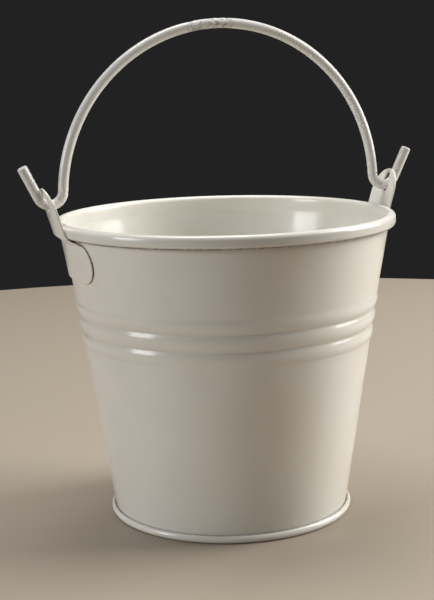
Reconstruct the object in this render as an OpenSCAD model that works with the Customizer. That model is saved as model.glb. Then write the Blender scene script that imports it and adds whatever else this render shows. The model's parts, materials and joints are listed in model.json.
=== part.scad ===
// Small florist bucket: tapered sheet-metal pail with a rolled rim, three rolled ribs,
// a seamed-on bottom, two welded ears and a swinging wire bail.
// Millimetres, +Z up. The origin is the middle of the foot, on the surface it stands on.
// +X runs along the bail's hinge axis, out through the right ear.

/* [Pail] */
// Across the rolled rim
rim_d = 110; // [80:1:200]
// From the surface it stands on to the top of the rim
pail_h = 98; // [70:1:200]
// Across the seam bead at the foot
foot_d = 80; // [60:1:160]
// Thickness of the wall sheet
wall_t = 0.5; // [0.3:0.05:0.8]
// How far the mouth stands outside the straight cone below the ribs
mouth_flare = 0.4; // [0:0.1:2]

/* [Rim] */
// Width of the rolled rim
curl_w = 3; // [2.6:0.1:5]
// Height of the rolled rim
curl_h = 4.2; // [3.6:0.1:7]
// Gap between the raw edge of the curl and the wall
curl_gap = 0.35; // [0.2:0.05:0.8]

/* [Ribs] */
// From the top of the rim down to the middle rib
rib_drop = 33.2; // [22:0.1:120]
// Distance from rib to rib
rib_pitch = 5.5; // [4:0.1:9]
// From the crest of a rib to the crease beside it
rib_depth = 0.85; // [0.5:0.05:1.5]
// How far a crest stands outside the cone of the wall
rib_proud = 0.4; // [0.2:0.05:0.7]

/* [Bottom] */
// Thickness of the bottom sheet
bottom_t = 0.5; // [0.3:0.05:0.8]
// Thickness across the rolled seam at the foot
seam_d = 2.6; // [2.4:0.1:4]
// From the outside of the seam in to the cone of the wall
seam_lap = 1.8; // [1.5:0.1:3]
// Height of the pail's floor above the surface it stands on
floor_z = 3.5; // [3:0.1:8]

/* [Side seam] */
// Width of the lapped seam down the back
lap_w = 5; // [3:0.5:8]

/* [Ears] */
// Thickness of an ear
ear_t = 0.6; // [0.5:0.1:1.5]
// Width of the pad that is welded to the wall
pad_w = 33.5; // [26:0.5:50]
// Height of the pad
pad_h = 13.2; // [10:0.1:20]
// From the bottom of the rim down to the top of the pad
pad_drop = 0.4; // [0:0.1:5]
// Height of the part of the pad that lies on the wall
pad_seat = 12.2; // [8:0.1:18]
// Width of the tongue
tongue_w = 15.6; // [12:0.1:24]
// How far the tongue leans outwards above the rim, in degrees
tongue_lean = 17; // [5:0.5:25]
// From the top of the rim up to the tip of the tongue
tongue_up = 11.4; // [9:0.1:20]
// Radius where the tongue meets the pad
neck_fillet = 2; // [0.5:0.1:4]
// Play all round the wire in the round end of its hole
hole_play = 0.9; // [0.6:0.05:2]
// Height of the round end's middle above the hinge axis
hole_lift = 0.4; // [0:0.05:0.5]
// How much smaller the radius of the hole's narrow end is
hole_taper = 1.4; // [0:0.1:2]
// From the round end's middle up to the narrow end's middle
hole_rise = 2.8; // [2:0.1:8]

/* [Bail] */
// Diameter of the wire
wire_d = 3.2; // [2:0.1:4]
// Height of the hinge axis above the top of the rim
hinge_up = 6.1; // [5:0.1:15]
// From the middle of an ear in to the lowest point of the wire
hinge_in = 0.9; // [0:0.05:1.5]
// Radius inside the bend through an ear
bend_in_r = 2.55; // [2:0.05:6]
// Height of the middle of the bow above the hinge axis
bow_lift = 1.1; // [0:0.1:3]
// How far a hook leans outwards, in degrees
hook_lean = 26; // [10:1:40]
// Length of the straight part of a hook
hook_len = 10.8; // [5:0.1:20]
// Bevel round a cut end of the wire
end_bevel = 0.35; // [0.1:0.05:0.8]

/* [Hidden] */
$fn = 96;
// Gap between two sheets that lie on each other
sheet_gap = 0.02;
// Gap between an ear and the rim that it passes
rim_gap = 0.05;
// Overlap of two shapes that are fused into one sheet
fuse = 0.05;
// Longer than anything that a cutting shape has to pass through
far = 400;
// Gap between the raw edge of the wall and the seam that is rolled round it
hem_gap = 0.12;
// How far the ball over a joint in the wire stands out of it
joint_skin = 0.02;
// Widths of the ear hole's flanks, as shares of the round that each end of them crosses
flank_low = 0.8;
flank_high = 0.9;
// Height of the upright part of the wall under the rim
upright = 1.2;
// How far the side seam stops short of the foot seam, and of the rim
lap_foot_gap = 1;
lap_rim_gap = 0.6;
// Degrees of the ring that an ear is cut from, beyond the pad's own width
ear_spare = 10;

wire_r = wire_d / 2;
hole_r = wire_r + hole_play;
// Radius of the bend at the middle of the wire
bend_r = bend_in_r + wire_r;
hole_tip_r = hole_r - hole_taper;
rim_r = rim_d / 2;
curl_r = curl_w / 2;
curl_x = rim_r - curl_r;
curl_z0 = pail_h - curl_h;
curl_low_z = curl_z0 + curl_r;
curl_high_z = pail_h - curl_r;
mouth_r = rim_r - curl_w + wall_t;
// The cone ends here, and the sheet goes straight up to the rim
mouth_z = curl_z0 - upright;
seam_r = seam_d / 2;
seam_x = foot_d / 2 - seam_r;
foot_r = foot_d / 2 - seam_lap;
cone_slope = (mouth_r - mouth_flare - foot_r) / mouth_z;
taper = atan(cone_slope);
rib_z = pail_h - rib_drop;
// Radius of the arc across a rib, from its half width and its depth
rib_half = rib_pitch / 2;
rib_r = (rib_half * rib_half + rib_depth * rib_depth) / (2 * rib_depth);
// Half width of a rib where it crosses the cone
rib_foot = sqrt(2 * rib_r * rib_proud - rib_proud * rib_proud);
ribs_reach = (rib_pitch + rib_foot) * cos(taper);
ribs_z0 = rib_z - ribs_reach;
ribs_z1 = rib_z + ribs_reach;
// Raw lower edge of the wall, turned out inside the seam
hem_z = seam_r - wall_t / 2;
hem_x = seam_x + sqrt(pow(seam_r - bottom_t - hem_gap, 2) - pow(wall_t / 2, 2));

function cone_r(z) = foot_r + cone_slope * z;
upper_slope = (mouth_r - cone_r(ribs_z1)) / (mouth_z - ribs_z1);
function upper_r(z) = mouth_r - upper_slope * (mouth_z - z);

// Points on the inner face of an ear, from the pad's lower edge to the tip
pad_z1 = curl_z0 - pad_drop;
pad_z0 = pad_z1 - pad_h;
bend_z = pad_z0 + pad_seat;
bend_x = upper_r(bend_z) + sheet_gap;
upper_lean = atan(upper_slope);
// The neck leaves the wall and just passes the outside of the rim
neck_dx = curl_x - bend_x;
neck_dz = curl_low_z - bend_z;
neck_reach = sqrt(neck_dx * neck_dx + neck_dz * neck_dz);
neck_lean = atan2(neck_dx, neck_dz) + asin((curl_r + rim_gap) / neck_reach);
// The knee, where the neck turns up into the tongue, both just clear of the rim
knee_turn = (neck_lean + tongue_lean) / 2;
knee_reach = (curl_r + rim_gap) / cos((neck_lean - tongue_lean) / 2);
knee_x = curl_x + knee_reach * cos(knee_turn);
knee_z = curl_low_z - knee_reach * sin(knee_turn);
tip_z = pail_h + tongue_up;
tip_x = knee_x + (tip_z - knee_z) * tan(tongue_lean);
pad_x0 = upper_r(pad_z0) + sheet_gap;

hinge_z = pail_h + hinge_up;
ear_mid_x = knee_x + (hinge_z - knee_z) * tan(tongue_lean) + ear_t / 2 / cos(tongue_lean);
hinge_x = ear_mid_x - hinge_in;
hinge_bend_z = hinge_z + bend_r;
bow_z = hinge_z + bow_lift;
bow_rise = hinge_bend_z - bow_z;
bow_r = sqrt(hinge_x * hinge_x + bow_rise * bow_rise) - bend_r;
bow_start = atan2(bow_rise, hinge_x);

// Outer face of an ear at a corner between two leans
function mitre(p, a, b) = [
    p[0] + ear_t * cos((a + b) / 2) / cos((a - b) / 2),
    p[1] - ear_t * sin((a + b) / 2) / cos((a - b) / 2)
];

// A band of the wall sheet between two heights, given its outer radii there
module band(r0, z0, r1, z1, t) {
    polygon([[r0 - t, z0], [r0, z0], [r1, z1], [r1 - t, z1]]);
}

// A flat-sided round, as wide as the curl less a margin all round
module curl_shape(margin) {
    r = curl_r - margin;
    translate([curl_x, curl_low_z]) circle(r = r);
    translate([curl_x, curl_high_z]) circle(r = r);
    translate([curl_x - r, curl_low_z]) square([2 * r, curl_high_z - curl_low_z]);
}

// The rolled rim, open where its raw edge stops short of the wall
module curl_section() {
    difference() {
        curl_shape(0);
        curl_shape(wall_t);
        translate([mouth_r - far, curl_z0 - far + curl_r])
            square([far + curl_gap, far]);
    }
}

// One rib across the sheet, on the cone, with its crest outwards
module rib_section(side) {
    low = side < 0 ? -rib_foot - fuse : -rib_half;
    high = side > 0 ? rib_foot + fuse : rib_half;
    translate([rib_proud - rib_r, side * rib_pitch]) intersection() {
        difference() {
            circle(r = rib_r);
            circle(r = rib_r - wall_t);
        }
        translate([0, low]) square([2 * rib_r, high - low]);
    }
}

module wall_section() {
    low_z = ribs_z0 + fuse;
    high_z = ribs_z1 - fuse;
    band(cone_r(hem_z), hem_z, cone_r(low_z), low_z, wall_t);
    translate([cone_r(rib_z), rib_z]) rotate(-taper)
        for (side = [-1, 0, 1]) rib_section(side);
    band(upper_r(high_z), high_z, mouth_r, mouth_z, wall_t);
    translate([mouth_r - wall_t, mouth_z]) square([wall_t, curl_low_z - mouth_z + fuse]);
    curl_section();
}

// The turned-out lower edge
module hem_section() {
    in_r = cone_r(hem_z) - wall_t / 2;
    translate([in_r, hem_z]) square([hem_x - in_r, wall_t]);
}

// The sheet as it lies double in the side seam, between the foot seam and the rim
module lap_section() {
    translate([wall_t - fuse / 2, 0]) intersection() {
        wall_section();
        translate([0, seam_d + lap_foot_gap])
            square([far, curl_z0 - lap_rim_gap - seam_d - lap_foot_gap]);
    }
}

module wall() {
    lap_deg = lap_w / (mouth_r + cone_r(0)) * 360 / PI;
    color("ivory") {
        rotate_extrude() {
            wall_section();
            hem_section();
        }
        rotate([0, 0, 90 - lap_deg / 2]) rotate_extrude(angle = lap_deg) lap_section();
    }
}

// The foot seam: the bottom sheet rolled round the hem of the wall
module seam_section() {
    difference() {
        translate([seam_x, seam_r]) circle(r = seam_r);
        translate([seam_x, seam_r]) circle(r = seam_r - bottom_t);
        translate([seam_x - far, -fuse]) square([far, seam_r + fuse]);
        polygon([
            [0, -fuse],
            [cone_r(-fuse) + sheet_gap, -fuse],
            [cone_r(seam_d + fuse) + sheet_gap, seam_d + fuse],
            [0, seam_d + fuse]
        ]);
    }
    in_r = cone_r(0) - wall_t - sheet_gap;
    translate([in_r - bottom_t, 0]) square([seam_x - in_r + bottom_t + fuse, bottom_t]);
    band(in_r, 0, cone_r(floor_z) - wall_t - sheet_gap, floor_z, bottom_t);
    panel_r = cone_r(floor_z - bottom_t) - wall_t - sheet_gap - fuse;
    translate([0, floor_z - bottom_t]) square([panel_r, bottom_t]);
}

module bottom_disc() {
    color("ivory") rotate_extrude() seam_section();
}

// The bent sheet of an ear, seen from its edge
module ear_section() {
    foot = [pad_x0, pad_z0];
    bend = [bend_x, bend_z];
    knee = [knee_x, knee_z];
    tip = [tip_x, tip_z];
    polygon([
        foot,
        bend,
        knee,
        tip,
        mitre(tip, tongue_lean, tongue_lean),
        mitre(knee, neck_lean, tongue_lean),
        mitre(bend, upper_lean, neck_lean),
        mitre(foot, upper_lean, upper_lean)
    ]);
}

// The hole: round where the wire hangs, and narrow at its top
module ear_hole() {
    circle(r = hole_r);
    translate([0, hole_rise]) circle(r = hole_tip_r);
    polygon([
        [flank_low * hole_r, 0],
        [flank_high * hole_tip_r, hole_rise],
        [-flank_high * hole_tip_r, hole_rise],
        [-flank_low * hole_r, 0]
    ]);
}

// The outline of an ear, seen from outside: a pad with round ends and a tongue
module ear_outline() {
    half = tongue_w / 2;
    end_x = (pad_w - pad_h) / 2;
    for (side = [-1, 1]) {
        translate([side * end_x, pad_z0 + pad_h / 2]) circle(d = pad_h);
        translate([side * half, pad_z1]) mirror([side < 0 ? 1 : 0, 0]) difference() {
            translate([-fuse, -fuse]) square(neck_fillet + fuse);
            translate([neck_fillet, neck_fillet]) circle(r = neck_fillet);
        }
    }
    translate([-end_x, pad_z0]) square([2 * end_x, pad_h]);
    translate([-half, pad_z1 - fuse]) square([tongue_w, tip_z - half - pad_z1 + fuse]);
    translate([0, tip_z - half]) circle(r = half);
}

module ear() {
    spread = 2 * asin(pad_w / 2 / pad_x0) + ear_spare;
    color("ivory") intersection() {
        rotate([0, 0, -spread / 2]) rotate_extrude(angle = spread) ear_section();
        rotate([90, 0, 90]) linear_extrude(far) difference() {
            ear_outline();
            translate([0, hinge_z + hole_lift]) ear_hole();
        }
    }
}

module right_ear() {
    ear();
}

module left_ear() {
    rotate([0, 0, 180]) ear();
}

// Part of a ring of wire that stands in the XZ plane
module wire_arc(r, from, to) {
    rotate([90, 0, 0]) rotate([0, 0, from]) rotate_extrude(angle = to - from)
        translate([r, 0]) circle(r = wire_r);
}

// The bend through an ear and the straight hook beyond it
module hook() {
    translate([hinge_x, 0, hinge_bend_z]) {
        wire_arc(bend_r, 180 + bow_start, 360 - hook_lean);
        rotate([0, -bow_start, 0]) translate([-bend_r, 0, 0])
            sphere(r = wire_r + joint_skin);
        rotate([0, hook_lean, 0]) translate([bend_r, 0, 0]) {
            sphere(r = wire_r + joint_skin);
            cylinder(r = wire_r, h = hook_len - end_bevel);
            translate([0, 0, hook_len - end_bevel])
                cylinder(r1 = wire_r, r2 = wire_r - end_bevel, h = end_bevel);
        }
    }
}

module bail() {
    color("ivory") {
        translate([0, 0, bow_z]) wire_arc(bow_r, bow_start, 180 - bow_start);
        hook();
        mirror([1, 0, 0]) hook();
    }
}

wall();
bottom_disc();
left_ear();
right_ear();
bail();
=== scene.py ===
"""Finished surfaces of a small enamelled florist bucket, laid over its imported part.

Sizes in the classes are in millimetres and turned to metres where a mesh is written.
The origin is the middle of the foot, +Z is up and +X runs along the bail's hinge axis.
"""

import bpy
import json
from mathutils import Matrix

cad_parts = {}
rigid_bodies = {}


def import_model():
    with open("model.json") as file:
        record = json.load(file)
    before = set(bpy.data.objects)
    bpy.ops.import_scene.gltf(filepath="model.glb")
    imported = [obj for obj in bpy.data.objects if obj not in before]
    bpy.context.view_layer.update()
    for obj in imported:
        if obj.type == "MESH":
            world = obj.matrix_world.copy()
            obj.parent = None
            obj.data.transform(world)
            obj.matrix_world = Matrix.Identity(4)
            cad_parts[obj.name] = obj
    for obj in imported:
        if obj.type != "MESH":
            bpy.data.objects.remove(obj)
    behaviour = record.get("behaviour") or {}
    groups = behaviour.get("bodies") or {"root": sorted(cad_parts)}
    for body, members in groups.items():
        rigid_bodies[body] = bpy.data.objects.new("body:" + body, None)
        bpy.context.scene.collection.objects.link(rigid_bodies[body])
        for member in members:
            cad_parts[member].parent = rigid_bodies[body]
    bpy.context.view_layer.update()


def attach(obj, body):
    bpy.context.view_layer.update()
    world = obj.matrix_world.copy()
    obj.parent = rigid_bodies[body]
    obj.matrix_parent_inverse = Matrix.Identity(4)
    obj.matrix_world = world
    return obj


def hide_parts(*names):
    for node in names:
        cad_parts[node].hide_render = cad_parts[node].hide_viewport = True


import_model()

import json
import logging
import math
from dataclasses import dataclass, field
from enum import Enum
from typing import ClassVar

import bpy
import numpy as np
from mathutils import Matrix, Vector, geometry

LOG = logging.getLogger("florist_bucket")
MM = 0.001

Point = tuple[float, float]
Colour = tuple[float, float, float]
Socket = bpy.types.NodeSocket
Layers = tuple[Socket, Socket, Socket]
Feed = Socket | Colour | float | str


class Body(Enum):
    """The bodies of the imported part."""

    PAIL = "pail"
    BAIL = "bail"


class Slot(Enum):
    """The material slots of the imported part."""

    PAIL = "pail_enamel"
    BAIL = "bail_enamel"


class Side(Enum):
    """Which side of the pail an ear stands on, as the sign of its X."""

    LEFT = -1
    RIGHT = 1


def into_scene(name: str, data: bpy.types.ID) -> bpy.types.Object:
    """Makes an object of a mesh, a light or a camera and links it into the scene.

    Args:
        name: The object's name.
        data: What it shows.

    Returns:
        The new object.
    """
    made = bpy.data.objects.new(name, data)
    bpy.context.scene.collection.objects.link(made)
    return made


def carry(mesh: bpy.types.Mesh, **weights: np.ndarray) -> None:
    """Stores numbers on a mesh's points.

    Args:
        mesh: The mesh, changed in place.
        weights: One number for each point, by name.
    """
    for name, values in weights.items():
        carried = mesh.attributes.new(name, "FLOAT", "POINT")
        carried.data.foreach_set("value", np.asarray(values, dtype=np.float32))


def distance_along(line: np.ndarray) -> np.ndarray:
    """How far along a line each of its points lies."""
    return np.concatenate([[0.0], np.cumsum(np.linalg.norm(np.diff(line, axis=0), axis=1))])


# ---------------------------------------------------------------- node trees


class Bench:
    """Puts nodes into one tree and joins them up."""

    def __init__(self, tree: bpy.types.NodeTree) -> None:
        """Keeps the tree.

        Args:
            tree: A shader or a geometry node tree.
        """
        self.tree = tree
        self.family = "Shader" if tree.bl_idname == "ShaderNodeTree" else "Geometry"

    def put(self, kind: str, inputs: dict | None = None, **settings: str | bool) -> bpy.types.Node:
        """Adds a node, sets it up and joins its inputs.

        Args:
            kind: The node's type name.
            inputs: A value or an output socket for each input, by name or place.
            settings: The node's own properties.

        Returns:
            The new node.
        """
        node = self.tree.nodes.new(kind)
        for name, value in settings.items():
            setattr(node, name, value)
        for key, value in (inputs or {}).items():
            self.join(value, node.inputs[key])
        return node

    def join(self, value: Feed, socket: Socket) -> None:
        """Links an output to a socket, or sets the socket's own value."""
        if isinstance(value, Socket):
            self.tree.links.new(value, socket)
        else:
            socket.default_value = value

    def math(self, operation: str, a: Feed, b: Feed = 0.0, clamp: bool = False) -> Socket:
        """One step of arithmetic on two values.

        Args:
            operation: The name of the Math node's operation.
            a: First value or socket.
            b: Second value or socket.
            clamp: Whether the result is held between 0 and 1.

        Returns:
            The result's socket.
        """
        node = self.put("ShaderNodeMath", {0: a, 1: b}, operation=operation, use_clamp=clamp)
        return node.outputs[0]

    def ease(self, value: Feed, low: Feed, high: Feed, start: float = 0.0, end: float = 1.0) -> Socket:
        """A smooth step from start to end while value goes from low to high.

        Args:
            value: The value or socket that is read.
            low: Where the step begins.
            high: Where the step is over.
            start: The result below low.
            end: The result above high.

        Returns:
            The result's socket.
        """
        node = self.put(
            "ShaderNodeMapRange",
            {"Value": value, "From Min": low, "From Max": high, "To Min": start, "To Max": end},
            interpolation_type="SMOOTHSTEP",
        )
        return node.outputs["Result"]

    def blend(self, share: Feed, a: Feed, b: Feed) -> Socket:
        """A colour between two colours.

        Args:
            share: How much of the second colour shows, from 0 to 1.
            a: First colour or socket.
            b: Second colour or socket.

        Returns:
            The mixed colour's socket.
        """
        node = self.put("ShaderNodeMix", data_type="RGBA")
        self.join(share, node.inputs["Factor"])
        for value, place in ((a, 6), (b, 7)):
            if not isinstance(value, Socket):
                value = (*value, 1.0)
            self.join(value, node.inputs[place])
        return node.outputs[2]


class FormTree:
    """A geometry node tree with named inputs that turns one mesh into another."""

    name = "form"

    def __init__(self) -> None:
        """Makes the tree, its mesh input, its named inputs and its result."""
        self.tree = bpy.data.node_groups.new(self.name, "GeometryNodeTree")
        self.bench = Bench(self.tree)
        self.ids: dict[str, str] = {}
        sockets = self.tree.interface
        sockets.new_socket("Mesh", in_out="INPUT", socket_type="NodeSocketGeometry")
        for name, kind in self.inputs().items():
            made = sockets.new_socket(name, in_out="INPUT", socket_type=kind)
            self.ids[name] = made.identifier
        sockets.new_socket("Mesh", in_out="OUTPUT", socket_type="NodeSocketGeometry")
        self.given = self.bench.put("NodeGroupInput").outputs
        solid = self.shape()
        whole = self.bench.put("GeometryNodeRealizeInstances", {"Geometry": solid})
        coated = self.bench.put(
            "GeometryNodeSetMaterial",
            {"Geometry": whole.outputs[0], "Material": self.given["Finish"]},
        )
        self.bench.put("NodeGroupOutput", {"Mesh": coated.outputs[0]})

    def inputs(self) -> dict[str, str]:
        """The socket type of each named input."""
        return {"Finish": "NodeSocketMaterial"}

    def shape(self) -> Socket:
        """Builds the nodes between the input and the result."""
        return self.given["Mesh"]

    def form(self, name: str, start: bpy.types.Mesh, values: dict) -> bpy.types.Object:
        """Runs the tree on a mesh and keeps the result as a plain mesh.

        Args:
            name: The name of the finished piece.
            start: The mesh that the tree is given.
            values: The value of each named input.

        Returns:
            The finished piece, in the scene.
        """
        blank = into_scene(name + ".blank", start)
        step = blank.modifiers.new("form", "NODES")
        step.node_group = self.tree
        for key, value in values.items():
            step[self.ids[key]] = value
        graph = bpy.context.evaluated_depsgraph_get()
        graph.update()
        mesh = bpy.data.meshes.new_from_object(blank.evaluated_get(graph))
        blank.modifiers.clear()
        bpy.data.objects.remove(blank)
        mesh.name = name
        face_outwards(mesh)
        return into_scene(name, mesh)


def face_outwards(mesh: bpy.types.Mesh) -> None:
    """Flips a closed mesh whose faces point inwards, and shades it smooth.

    Args:
        mesh: The mesh, changed in place.
    """
    mesh.calc_loop_triangles()
    places = np.empty(len(mesh.vertices) * 3)
    mesh.vertices.foreach_get("co", places)
    corners = np.empty(len(mesh.loop_triangles) * 3, dtype=np.int64)
    mesh.loop_triangles.foreach_get("vertices", corners)
    a, b, c = places.reshape(-1, 3)[corners.reshape(-1, 3)].transpose(1, 0, 2)
    if np.einsum("ij,ij->i", a, np.cross(b, c)).sum() < 0:
        mesh.flip_normals()
    mesh.shade_smooth()


class TurnedSheetTree(FormTree):
    """Turns the section of a sheet about the vertical axis, with a lapped side seam."""

    name = "turned_sheet"
    # Half the stretch over which the lap swells on one side and drops on the other.
    lap_swell = 0.9 * MM
    lap_drop = 0.16 * MM
    # The stretches over which the lap runs out below the rim and above the foot.
    head_fade = 1.0 * MM
    foot_fade = 0.6 * MM
    # Raw noise stays so near its middle that this gain brings it to about -1 and 1.
    noise_gain = 2.6
    edge_swell_length = 6.0 * MM
    edge_seed_step = 7.0

    def inputs(self) -> dict[str, str]:
        """The socket type of each named input."""
        return super().inputs() | {
            "Columns": "NodeSocketInt",
            "Seam gather": "NodeSocketFloat",
            "Lap width": "NodeSocketFloat",
            "Lap rise": "NodeSocketFloat",
            "Lap foot": "NodeSocketFloat",
            "Lap head": "NodeSocketFloat",
            "Waver": "NodeSocketFloat",
            "Waver length": "NodeSocketFloat",
            "Edge wander": "NodeSocketFloat",
            "Seed": "NodeSocketFloat",
        }

    def sampled(self, attribute: str, row: Socket) -> Socket:
        """Reads a number that the section's points carry.

        Args:
            attribute: The attribute's name.
            row: Which point of the section is read.

        Returns:
            The number's socket.
        """
        named = self.bench.put("GeometryNodeInputNamedAttribute", {"Name": attribute})
        read = self.bench.put(
            "GeometryNodeSampleIndex",
            {"Geometry": self.given["Mesh"], "Value": named.outputs[0], "Index": row},
            clamp=True,
        )
        return read.outputs[0]

    def noise(self, at: Socket, size: Feed, seed: Feed) -> Socket:
        """Smooth noise between about -1 and 1.

        Args:
            at: Where it is read, in metres.
            size: Distance from one swell to the next, in metres.
            seed: The fixed seed.

        Returns:
            The noise's socket.
        """
        node = self.bench.put(
            "ShaderNodeTexNoise",
            {"Vector": at, "W": seed, "Scale": self.bench.math("DIVIDE", 1.0, size), "Detail": 1.0},
            noise_dimensions="4D",
        )
        centred = self.bench.math("SUBTRACT", node.outputs[0], 0.5)
        return self.bench.math("MULTIPLY", centred, self.noise_gain)

    def point(self, row: Socket) -> tuple[Socket, Socket]:
        """The radius and the height of a point of the section.

        Args:
            row: Which point is read.

        Returns:
            The sockets of both.
        """
        place = self.bench.put(
            "GeometryNodeSampleIndex",
            {
                "Geometry": self.given["Mesh"],
                "Value": self.bench.put("GeometryNodeInputPosition").outputs[0],
                "Index": row,
            },
            data_type="FLOAT_VECTOR",
            clamp=True,
        )
        split = self.bench.put("ShaderNodeSeparateXYZ", {0: place.outputs[0]})
        return split.outputs[0], split.outputs[2]

    def swept(self, column: Socket) -> Socket:
        """The angle of a column from the seam, where the columns stand closer together."""
        bench, given = self.bench, self.given
        turn = bench.math("MULTIPLY", bench.math("DIVIDE", column, given["Columns"]), math.tau)
        gathered = bench.math("MULTIPLY", given["Seam gather"], bench.math("SINE", turn))
        return bench.math("SUBTRACT", turn, gathered)

    def lap(self, swept: Socket, radius: Socket, height: Socket, row: Socket) -> Socket:
        """How far the lapped seam lifts the outer face.

        Args:
            swept: The angle from the seam.
            radius: The radius before the lap.
            height: The height.
            row: Which point of the section it is.

        Returns:
            The lift's socket.
        """
        bench, given = self.bench, self.given
        ahead = bench.math("MODULO", bench.math("ADD", swept, math.pi), math.tau)
        across = bench.math("MULTIPLY", bench.math("SUBTRACT", ahead, math.pi), radius)
        right = bench.math("MULTIPLY", given["Lap width"], 0.5)
        left = bench.math("MULTIPLY", right, -1.0)
        swell_from = bench.math("SUBTRACT", left, self.lap_swell)
        swell_to = bench.math("ADD", left, self.lap_swell)
        drop_from = bench.math("SUBTRACT", right, self.lap_drop)
        drop_to = bench.math("ADD", right, self.lap_drop)
        head_from = bench.math("SUBTRACT", given["Lap head"], self.head_fade)
        foot_to = bench.math("ADD", given["Lap foot"], self.foot_fade)
        lift = bench.ease(across, swell_from, swell_to)
        for share in (
            bench.ease(across, drop_from, drop_to, 1.0, 0.0),
            bench.ease(height, head_from, given["Lap head"], 1.0, 0.0),
            bench.ease(height, given["Lap foot"], foot_to),
            self.sampled("outer_face", row),
            given["Lap rise"],
        ):
            lift = bench.math("MULTIPLY", lift, share)
        return lift

    def placed(self, angle: Socket, radius: Socket, height: Socket) -> Socket:
        """The place at an angle, a radius and a height."""
        bench = self.bench
        along_x = bench.math("MULTIPLY", bench.math("COSINE", angle), radius)
        along_y = bench.math("MULTIPLY", bench.math("SINE", angle), radius)
        return bench.put("ShaderNodeCombineXYZ", {0: along_x, 1: along_y, 2: height}).outputs[0]

    def swell(self, noise: Socket, size: str, share: str, row: Socket) -> Socket:
        """Noise brought to the size of an input and to the share that the section's points carry."""
        sized = self.bench.math("MULTIPLY", noise, self.given[size])
        return self.bench.math("MULTIPLY", sized, self.sampled(share, row))

    def shape(self) -> Socket:
        """Lays a grid over the section and the turn, then bends it round."""
        bench, given = self.bench, self.given
        size = bench.put("GeometryNodeAttributeDomainSize", {0: given["Mesh"]}, component="MESH")
        stops = bench.math("ADD", given["Columns"], 1.0)
        grid = bench.put(
            "GeometryNodeMeshGrid", {"Vertices X": size.outputs["Point Count"], "Vertices Y": stops}
        )
        index = bench.put("GeometryNodeInputIndex").outputs[0]
        row = bench.math("FLOOR", bench.math("DIVIDE", bench.math("ADD", index, 0.5), stops))
        column = bench.math("SUBTRACT", index, bench.math("MULTIPLY", row, stops))
        radius, height = self.point(row)
        swept = self.swept(column)
        angle = bench.math("ADD", swept, math.pi / 2)
        ring = self.placed(angle, radius, height)
        noise = self.noise(ring, given["Waver length"], given["Seed"])
        waver = self.swell(noise, "Waver", "slack", row)
        seed = bench.math("ADD", given["Seed"], self.edge_seed_step)
        wander = self.swell(self.noise(ring, self.edge_swell_length, seed), "Edge wander", "raw_edge", row)
        lapped = bench.math("ADD", radius, self.lap(swept, radius, height, row))
        reach = bench.math("ADD", lapped, bench.math("ADD", waver, wander))
        kept = bench.put(
            "GeometryNodeStoreNamedAttribute",
            {"Geometry": grid.outputs["Mesh"], "Name": "tuck", "Value": self.sampled("tuck", row)},
            data_type="FLOAT",
            domain="POINT",
        )
        spot = self.placed(angle, reach, bench.math("SUBTRACT", height, wander))
        bent = bench.put("GeometryNodeSetPosition", {"Geometry": kept.outputs[0], "Position": spot})
        closed = bench.put(
            "GeometryNodeMergeByDistance", {"Geometry": bent.outputs[0], "Distance": 0.001 * MM}
        )
        return closed.outputs[0]


class BentWireTree(FormTree):
    """Draws a round wire along a path, with a lumpy coat over one stretch of it."""

    name = "bent_wire"
    # The noise between which the coat goes from whole to fully sunk.
    sink_from = 0.42
    sink_to = 0.6

    def inputs(self) -> dict[str, str]:
        """The socket type of each named input."""
        return super().inputs() | {
            "Wire radius": "NodeSocketFloat",
            "Points round": "NodeSocketInt",
            "Lump rise": "NodeSocketFloat",
            "Lump size": "NodeSocketFloat",
        }

    def shape(self) -> Socket:
        """Sweeps a circle along the path and sinks the lumps into the coat."""
        bench, given = self.bench, self.given
        path = bench.put("GeometryNodeMeshToCurve", {0: given["Mesh"]})
        girth = bench.put("GeometryNodeInputNamedAttribute", {"Name": "girth"})
        ring = bench.put(
            "GeometryNodeCurvePrimitiveCircle",
            {"Resolution": given["Points round"], "Radius": given["Wire radius"]},
        )
        tube = bench.put(
            "GeometryNodeCurveToMesh",
            {
                "Curve": path.outputs[0],
                "Profile Curve": ring.outputs[0],
                "Scale": girth.outputs[0],
                "Fill Caps": True,
            },
        )
        patch = bench.put("GeometryNodeInputNamedAttribute", {"Name": "chipped"})
        grain = bench.put(
            "ShaderNodeTexNoise",
            {
                "Vector": bench.put("GeometryNodeInputPosition").outputs[0],
                "Scale": bench.math("DIVIDE", 1.0, given["Lump size"]),
                "Detail": 3.0,
            },
        )
        sunk = bench.ease(grain.outputs[0], self.sink_from, self.sink_to, 0.0, -1.0)
        sunk = bench.math("MULTIPLY", bench.math("MULTIPLY", sunk, patch.outputs[0]), given["Lump rise"])
        out = bench.put("GeometryNodeInputNormal").outputs[0]
        shift = bench.put("ShaderNodeVectorMath", {0: out, "Scale": sunk}, operation="SCALE")
        worn = bench.put(
            "GeometryNodeSetPosition", {"Geometry": tube.outputs[0], "Offset": shift.outputs[0]}
        )
        return worn.outputs[0]


# ---------------------------------------------------------------- finishes


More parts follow.
